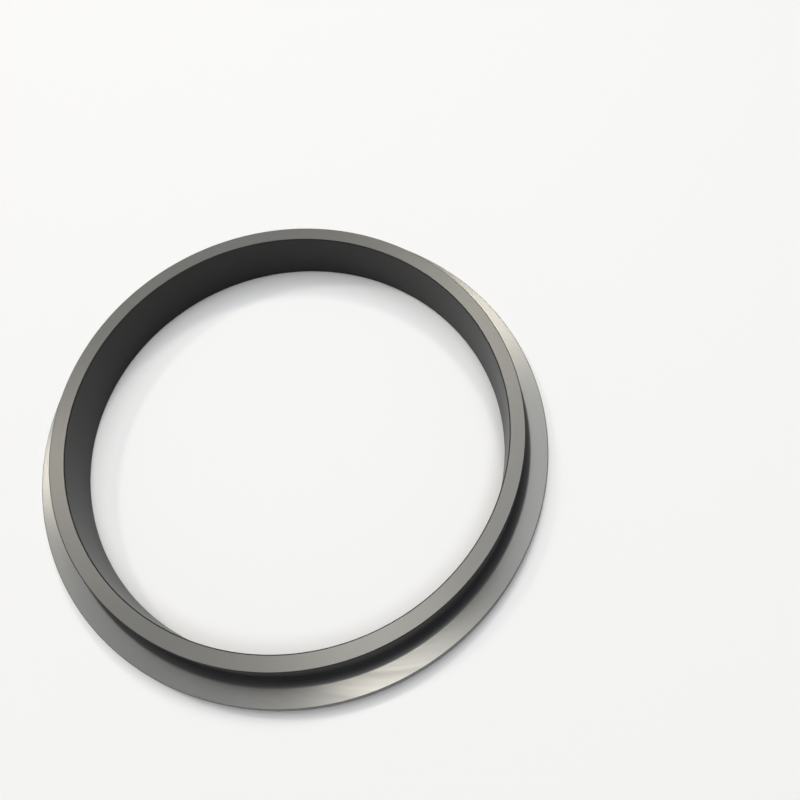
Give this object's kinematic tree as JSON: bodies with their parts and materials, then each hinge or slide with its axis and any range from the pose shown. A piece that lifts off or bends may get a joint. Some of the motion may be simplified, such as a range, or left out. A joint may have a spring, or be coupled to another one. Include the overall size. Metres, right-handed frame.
{
  "type": "mechanical seal face ring",
  "caption": "Flanged seal face ring in dark ground ceramic: thin-walled nose with a flat lapped end face, straight bore, and a wide thin flange blended in by a fillet.",
  "frame": {"origin": "centre of the flange's flat back face, which the ring lies on", "axes": "+Z along the ring's axis, from the back face towards the seal face; X and Y are any two radii, as the ring is the same all round"},
  "size_m": [0.201, 0.201, 0.024],
  "materials": {
    "ground_carbide": "ground and lapped silicon carbide, satin dark grey"
  },
  "bodies": {
    "root": {"seal_ring": "ground_carbide"}
  },
  "joints": []
}
